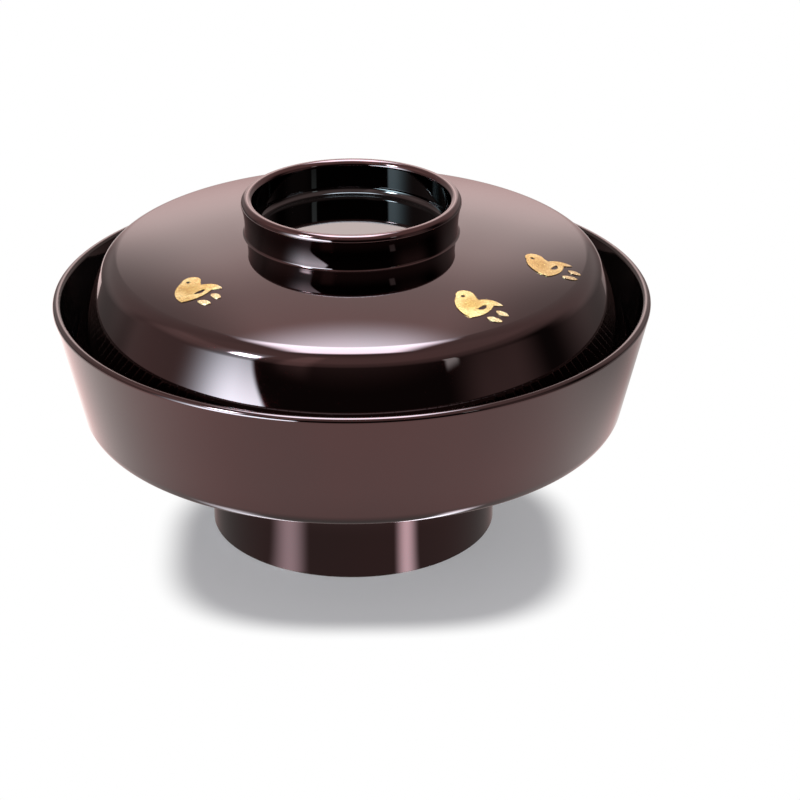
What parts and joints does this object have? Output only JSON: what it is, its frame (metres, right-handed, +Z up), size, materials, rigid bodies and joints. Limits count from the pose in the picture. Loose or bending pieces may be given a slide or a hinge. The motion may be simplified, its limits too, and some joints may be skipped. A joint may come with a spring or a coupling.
{
  "type": "lidded lacquer bowl",
  "caption": "Round lacquered soup bowl on a tall foot ring, with a domed lid that drops inside the rim, a ring knob and gold plovers on the lid; holds hot soup or a simmered dish.",
  "frame": {"origin": "middle of the foot ring's resting face, on the table", "axes": "+Z up along the axis of the bowl and the lid; -Y is the side that faces the camera in the picture, and +X is to its right"},
  "size_m": [0.14, 0.14, 0.0821],
  "materials": {
    "core": "turned wood under the lacquer, bare only on the foot's resting edge",
    "brown_lacquer": "glossy dark brown lacquer, a little redder where it is worn thin on the edges",
    "black_lacquer": "glossy black lacquer",
    "bowl_inside_lacquer": "black lacquer, with a fine satin grain on the floor and low waves along one side",
    "gold": "gold powder laid in lacquer"
  },
  "bodies": {
    "bowl": {"bowl_core": "core", "bowl_outer_lacquer": "brown_lacquer", "bowl_inner_lacquer": "bowl_inside_lacquer", "foot_well_lacquer": "black_lacquer"},
    "lid": {"lid_core": "core", "lid_outer_lacquer": "brown_lacquer", "lid_inner_lacquer": "black_lacquer", "knob_well_lacquer": "black_lacquer", "plover_left": "gold", "plover_front": "gold", "plover_right": "gold"}
  },
  "joints": [
    {"name": "lid_lift", "type": "slide", "parent": "bowl", "child": "lid", "axis": [0, 0, 1], "range_m": [0, 0.08]}
  ]
}
